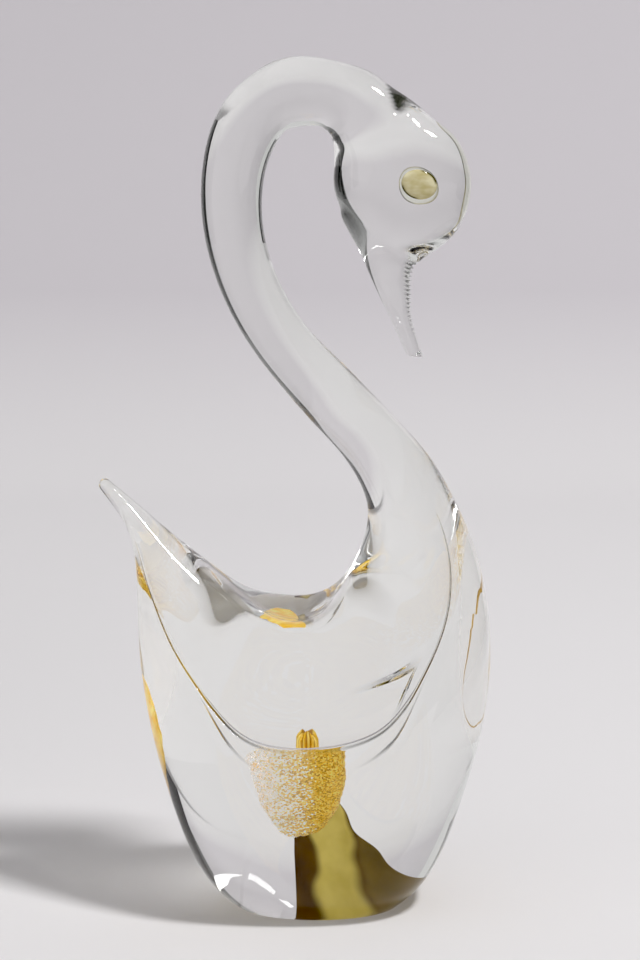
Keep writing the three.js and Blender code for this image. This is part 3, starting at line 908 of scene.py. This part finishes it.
# Film of gold leaf under the core, a painted reflection of the core in the ground base, in millimetres:
# height, left edge, right edge; and the shares of that width where its painted lit fold starts and ends
FILM_ROWS = [
    (37.0, 11.5, 14.5, 0.1, 0.95),
    (34.0, 7.0, 16.8, 0.15, 0.95),
    (30.0, 0.6, 18.2, 0.24, 0.95),
    (27.0, 0.2, 20.0, 0.25, 0.93),
    (23.5, 0.4, 24.5, 0.27, 0.76),
    (18.5, 0.8, 27.3, 0.27, 0.67),
    (16.0, 1.1, 30.0, 0.24, 0.62),
    (12.0, 1.6, 31.5, 0.17, 0.58),
    (8.0, 2.2, 31.0, 0.22, 0.66),
    (1.5, 3.0, 27.0, 0.4, 0.95),
]

# In shares of the film's width, how soft the lit fold starts and ends; the light beyond the fold, and over
# which share it comes; in millimetres, the film's bow and how far the fold stands proud
FILM_FOLD_START = 0.05
FILM_FOLD_END = 0.07
FILM_BEYOND = 0.16
FILM_BEYOND_OVER = 0.1
FILM_BOW = 1.5
FILM_PROUD = 1.2

# Strip of leaf under the belly's line below the tail, a painted image of the core that the glass bends there:
# the sections that it spans; in millimetres, its depth under the skin and its place across the body; how much
# it turns to the far side, how ragged it is, and where on a half wave its ends lie
STRIP_SPAN = (5.18, 6.97)
STRIP_DEPTH = 0.8
STRIP_NEAR = -3.5
STRIP_TURN = 0.41
STRIP_RAGGED = 0.1
STRIP_ENDS = (0.03, 0.97)

# Flake of leaf under the hollow of the back, a painted image of the core that the glass bends there, in
# millimetres: its ends across the body, half of its width, how far it leans to the tail, its height at the
# middle and how ragged it is; how much it falls to the far side, over which share of its length it leans, and
# where on a half wave its ends lie
FLAKE_SPAN = (-24.0, 21.0)
FLAKE_HALF = 8.4
FLAKE_LEAN = 7.0
FLAKE_HEIGHT = 97.2
FLAKE_RAGGED = 1.2
FLAKE_FALL = 0.2
FLAKE_LEAN_OVER = (-0.05, 0.4)
FLAKE_ENDS = (0.08, 0.92)

# Heights between which the strip turns from brown to bright gold, in millimetres
SHEET_BROWN = (35, 66)


class GLASSSWAN_OT_core(bpy.types.Operator):
    """Seals the gold in the body: the core, its ribbed stem, and a strip, a flake and the film below the core
    that paint the core's images in the glass
    """

    bl_idname = "glass_swan.core"
    bl_label = "Gold core"

    def execute(self, context):
        core = context.scene.swan_core
        self.crumbled_core(core)
        self.ribbed_stem(core)
        self.edge_strip(core)
        self.back_flake(core)
        self.hanging_film(core)
        return {"FINISHED"}

    def crumbled_core(self, core):
        """A lump with a flat top that narrows to a blunt point, fuller on the chest's side."""
        bm = bmesh.new()
        bmesh.ops.create_uvsphere(bm, u_segments=128, v_segments=80, radius=1.0)
        for vert in bm.verts:
            direction = vert.co.copy()
            depth = (1 - direction.z) / 2
            flat = Vector((direction.x, direction.y, 0))
            flat = flat.normalized() if flat.length > 1e-6 else flat
            fullness = lerp(*CORE_FULLNESS, (flat.x + 1) / 2)
            taper = max(1 - depth ** fullness, 0.0) ** CORE_TAPER * smoothstep(depth, *CORE_EDGE)
            lump = 1 + CORE_LUMPS * noise.noise(direction * 2.1 + Vector((3.1, 0.7, 5.2)))
            lump += CORE_GRAINS * noise.noise(direction * 14)
            x = flat.x * taper * core.width / 2 * lump
            y = flat.y * taper * (core.front if flat.y < 0 else core.back) * lump
            z = -depth * core.height * lump - core.lean * y + CORE_RISE * x
            vert.co = Vector((x, y, z)) + Vector(core.place)
        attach(finish_mesh("gold_core", bm, gold_leaf(core)), "root")

    def ribbed_stem(self, core):
        """A short ribbed rod that stands in the core's top."""
        bm = bmesh.new()
        segments = core.stem_ribs * STEM_RIB_STEPS
        foot = Vector(core.place) + Vector((core.stem_shift, 0, 0))
        groove_shade_layer = bm.verts.layers.float.new("rib")
        ring = bmesh.ops.create_circle(bm, segments=segments, radius=1.0)["verts"]
        first = ring
        for level in range(STEM_LEVELS + 1):
            if level:
                ring = extrude_ring(bm, ring)
            rise = level / STEM_LEVELS
            narrow = lerp(1.0, STEM_TOP, rise)
            rounded = 1 - STEM_ROUNDING * smoothstep(rise, STEM_ROUND_FROM, 1.0)
            for i, vert in enumerate(ring):
                turn = 2 * math.pi * i / segments
                rib = 1 + STEM_RIB_DEPTH * math.cos(core.stem_ribs * turn)
                # Painted shade: the grooves take the deep gold and the ridges the bright
                vert[groove_shade_layer] = smoothstep(rib, *STEM_GROOVE)
                radius = core.stem_width / 2 * rib * narrow * rounded
                wave = STEM_WAVE * MM * math.sin(3 * turn) * rise
                lift = lerp(-STEM_ROOT * MM, core.stem_height, rise) + wave
                vert.co = Vector((radius * math.cos(turn), radius * math.sin(turn), lift)) + foot
        for end in (first, ring):
            edges = [bm.edges.get(pair) for pair in zip(end, end[1:] + end[:1])]
            bmesh.ops.edgeloop_fill(bm, edges=edges)
        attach(finish_mesh("gold_stem", bm, gold_rod(core)), "root")

    def edge_strip(self, core):
        """A narrow strip of leaf that reaches in from the belly's line, below the tail, as a painted image of
        the core.
        """
        bm = bmesh.new()
        grid = bmesh.ops.create_grid(bm, x_segments=12, y_segments=56, size=0.5)["verts"]
        for vert in grid:
            along = vert.co.y + 0.5
            belly_x, belly_z = LINES.at(lerp(*STRIP_SPAN, along))[2:4]
            ragged = 1 + STRIP_RAGGED * noise.noise(Vector((0.2 * belly_z, 1.3, 0.4)))
            width = core.strip_width / MM * ragged * math.sin(math.pi * lerp(*STRIP_ENDS, along)) ** 0.5
            inward = width * (vert.co.x + 0.5)
            x, y = belly_x + STRIP_DEPTH + inward, STRIP_NEAR + STRIP_TURN * inward
            vert.co = Vector((x, y, belly_z)) * MM
        bmesh.ops.solidify(bm, geom=bm.faces[:], thickness=core.sheet_thickness)
        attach(finish_mesh("painted_core_image_strip", bm, gold_sheet(core)), "root")

    def back_flake(self, core):
        """A ragged flake of leaf under the hollow between the wings, as a painted image of the core."""
        bm = bmesh.new()
        grid = bmesh.ops.create_grid(bm, x_segments=20, y_segments=40, size=0.5)["verts"]
        for vert in grid:
            along = vert.co.y + 0.5
            y = lerp(*FLAKE_SPAN, along)
            half = FLAKE_HALF * math.sin(math.pi * lerp(*FLAKE_ENDS, along)) ** 0.6
            ragged = FLAKE_RAGGED * vert.co.x * noise.noise(Vector((0.5 * y, 0.7, 3 * vert.co.x)))
            x = 2 * half * vert.co.x - FLAKE_LEAN * smoothstep(along, *FLAKE_LEAN_OVER) + ragged
            vert.co = Vector((x, y, FLAKE_HEIGHT - FLAKE_FALL * y)) * MM
        bmesh.ops.solidify(bm, geom=bm.faces[:], thickness=core.sheet_thickness)
        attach(finish_mesh("painted_core_image_flake", bm, gold_sheet(core)), "root")

    def hanging_film(self, core):
        """A folded film of leaf from the core down to the base, which paints the core's reflection in the
        base.
        """
        rows = SmoothRows(FILM_ROWS, lambda a, b: a[0] - b[0])
        bm = bmesh.new()
        lit = bm.verts.layers.float.new("fold")
        grid = bmesh.ops.create_grid(bm, x_segments=48, y_segments=72, size=0.5)["verts"]
        for vert in grid:
            across, along = vert.co.x + 0.5, 0.5 - vert.co.y
            z, left, right, fold_from, fold_to = rows.at(along * (len(FILM_ROWS) - 1))
            fold = smoothstep(across, fold_from - FILM_FOLD_START, fold_from + FILM_FOLD_START)
            fold *= 1 - smoothstep(across, fold_to - FILM_FOLD_END, fold_to + FILM_FOLD_END)
            vert[lit] = max(fold, FILM_BEYOND * smoothstep(across, fold_to, fold_to + FILM_BEYOND_OVER))
            y = core.film_depth + FILM_BOW * MM * math.sin(math.pi * across) - FILM_PROUD * MM * fold
            vert.co = Vector((lerp(left, right, across) * MM, y, z * MM))
        bmesh.ops.solidify(bm, geom=bm.faces[:], thickness=core.film_thickness)
        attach(finish_mesh("painted_core_reflection_film", bm, painted_core_reflection_film(core)), "root")


# Paper sweep, in metres: its floor, front edge, start and radius of the bend, half width and top; the
# heights over which its colour darkens to the wall's painted shade; the steps of the bend
PAPER_FLOOR = -0.0003
PAPER_FRONT = -1.6
PAPER_BACK = 0.9
PAPER_BEND = 0.6
PAPER_HALF = 1.3
PAPER_TOP = 1.9
PAPER_TURN = (0.005, 0.13)
PAPER_STEPS = 24

# Black cards beside the swan, in metres: name; place to the right; from front to back; from bottom to top
FLAGS = (
    ("flag_right", 0.56, -0.30, 0.58, 0.0, 0.50),
    ("flag_left", -0.55, -0.12, 0.40, 0.10, 0.60),
)
FLAG_THICKNESS = 0.01
FLAG_EDGE = 0.002
FLAG_BLACK = 0.012

# Where the softbox points, in metres; the shares of the room from left to right over which it darkens, and
# how dark it gets; the directions over which its front brightens; the view's black point
KEY_AIM = (0, 0, 0.1)
ROOM_DARKENS = (0.5, 0.92)
ROOM_DARK = 0.03
ROOM_FRONT = (0.2, -1.0)
BLACK_POINT = 0.03


class GLASSSWAN_OT_stage(bpy.types.Operator):
    """Sets the camera, the paper sweep and the studio light"""

    bl_idname = "glass_swan.stage"
    bl_label = "Stage"

    def execute(self, context):
        stage, scene = context.scene.swan_stage, context.scene
        camera_data = bpy.data.cameras.new("camera")
        camera_data.lens, camera_data.sensor_width = stage.lens, 36.0
        camera = bpy.data.objects.new("camera", camera_data)
        camera.location = stage.camera_place
        camera.rotation_euler = Euler((math.pi / 2 - stage.camera_pitch, 0, 0))
        scene.collection.objects.link(camera)
        scene.camera = camera
        self.paper_sweep(stage)
        self.black_flags()
        self.lights(stage, scene)
        scene.view_settings.view_transform = "Standard"
        scene.view_settings.use_curve_mapping = True
        scene.view_settings.curve_mapping.black_level = (BLACK_POINT,) * 3
        scene.view_settings.curve_mapping.update()
        scene.cycles.max_bounces = 32
        scene.cycles.transmission_bounces = 32
        scene.cycles.transparent_max_bounces = 16
        scene.cycles.glossy_bounces = 12
        scene.cycles.use_denoising = True
        return {"FINISHED"}

    def paper_sweep(self, stage):
        """A floor of paper that bends up into a wall, whose colour darkens up the wall as painted shade."""
        material, tree = new_material("matt_backdrop_paper")
        place = add_node(tree, "ShaderNodeTexCoord")
        split = add_node(tree, "ShaderNodeSeparateXYZ", [("Vector", place, "Object")])
        rise = add_node(tree, "ShaderNodeMapRange", [("Value", split, "Z")], {
            "From Min": PAPER_TURN[0], "From Max": PAPER_TURN[1]})
        colour = add_node(tree, "ShaderNodeMix", [("Factor", rise, "Result")], {
            MIX_FIRST: opaque(stage.paper), MIX_SECOND: opaque(stage.paper_wall_shade)}, data_type="RGBA")
        add_surface(tree, [("Base Color", colour, MIX_RESULT)], {
            "Roughness": 0.95, "Specular IOR Level": 0.15})
        bm = bmesh.new()
        outline = [(PAPER_FRONT, PAPER_FLOOR), (PAPER_BACK, PAPER_FLOOR)]
        for step in range(1, PAPER_STEPS + 1):
            turn = math.pi / 2 * step / PAPER_STEPS
            y, z = PAPER_BEND * math.sin(turn), PAPER_BEND * (1 - math.cos(turn))
            outline.append((PAPER_BACK + y, PAPER_FLOOR + z))
        outline.append((PAPER_BACK + PAPER_BEND, PAPER_TOP))
        verts = [bm.verts.new((-PAPER_HALF, y, z)) for y, z in outline]
        edges = [bm.edges.new(pair) for pair in zip(verts, verts[1:])]
        made = bmesh.ops.extrude_edge_only(bm, edges=edges)["geom"]
        right = [v for v in made if isinstance(v, bmesh.types.BMVert)]
        bmesh.ops.translate(bm, verts=right, vec=(2 * PAPER_HALF, 0, 0))
        finish_mesh("paper_sweep", bm, material)

    def black_flags(self):
        """Black cards beside the swan, out of sight, which draw the dark lines along the glass's edges."""
        material, tree = new_material("black_velvet_flag")
        add_surface(tree, inputs={"Base Color": opaque((FLAG_BLACK,) * 3), "Roughness": 1.0})
        for name, x, y_from, y_to, bottom, top in FLAGS:
            bm = bmesh.new()
            bmesh.ops.create_cube(bm, size=1.0)
            middle = Matrix.Translation((x, (y_from + y_to) / 2, (top + bottom) / 2))
            size = Matrix.Diagonal((FLAG_THICKNESS, y_to - y_from, top - bottom, 1.0))
            bmesh.ops.transform(bm, verts=bm.verts[:], matrix=middle @ size)
            bmesh.ops.bevel(
                bm, geom=bm.edges[:], offset=FLAG_EDGE, segments=2, profile=0.5, affect="EDGES", material=-1)
            card = finish_mesh(name, bm, material)
            card.visible_camera = False

    def lights(self, stage, scene):
        """A softbox at the front right and a room that is bright on the left."""
        light = bpy.data.lights.new("key_softbox", "AREA")
        light.energy, light.size = stage.key_power, stage.key_size
        lamp = bpy.data.objects.new("key_softbox", light)
        lamp.location = stage.key_place
        lamp.rotation_euler = (Vector(KEY_AIM) - lamp.location).to_track_quat("-Z", "Y").to_euler()
        scene.collection.objects.link(lamp)

        world = bpy.data.worlds.new("studio_room")
        scene.world = world
        world.use_nodes = True
        tree = world.node_tree
        tree.nodes.clear()
        place = add_node(tree, "ShaderNodeTexCoord")
        split = add_node(tree, "ShaderNodeSeparateXYZ", [("Vector", place, "Generated")])
        across = add_node(tree, "ShaderNodeMapRange", [("Value", split, "X")], {
            "From Min": -1.0, "From Max": 1.0})
        ramp = add_node(tree, "ShaderNodeValToRGB", [("Fac", across, "Result")], stops=[
            (ROOM_DARKENS[0], (stage.room,) * 3), (ROOM_DARKENS[1], (ROOM_DARK,) * 3)])
        front = add_node(tree, "ShaderNodeMapRange", [("Value", split, "Y")], {
            "From Min": ROOM_FRONT[0], "From Max": ROOM_FRONT[1], "To Min": 1.0, "To Max": stage.front})
        light = add_node(tree, "ShaderNodeBackground", [
            ("Color", ramp, "Color"), ("Strength", front, "Result")])
        add_node(tree, "ShaderNodeOutputWorld", [("Surface", light, "Background")])


class GLASSSWAN_PT_panel(bpy.types.Panel):
    """Lists the settings and the steps that build the swan"""

    bl_idname = "GLASSSWAN_PT_panel"
    bl_label = "Glass Swan"
    bl_space_type = "VIEW_3D"
    bl_region_type = "UI"
    bl_category = "Glass Swan"

    def draw(self, context):
        for name in SETTINGS:
            box = self.layout.box()
            settings = getattr(context.scene, name)
            for prop in settings.bl_rna.properties:
                if prop.identifier not in {"rna_type", "name"}:
                    box.prop(settings, prop.identifier)
            box.operator(name.replace("swan_", "glass_swan."))


SETTINGS = {
    "swan_stage": StageSettings,
    "swan_glass": GlassSettings,
    "swan_eyes": EyeSettings,
    "swan_core": CoreSettings,
}
CLASSES = (
    *SETTINGS.values(),
    GLASSSWAN_OT_stage,
    GLASSSWAN_OT_glass,
    GLASSSWAN_OT_eyes,
    GLASSSWAN_OT_core,
    GLASSSWAN_PT_panel,
)


def register():
    for cls in CLASSES:
        bpy.utils.register_class(cls)
    for name, settings in SETTINGS.items():
        setattr(bpy.types.Scene, name, bpy.props.PointerProperty(type=settings))


def unregister():
    for name in SETTINGS:
        delattr(bpy.types.Scene, name)
    for cls in reversed(CLASSES):
        bpy.utils.unregister_class(cls)


def main():
    register()
    bpy.ops.glass_swan.stage()
    bpy.ops.glass_swan.glass()
    bpy.ops.glass_swan.eyes()
    bpy.ops.glass_swan.core()


if __name__ == "__main__":
    main()
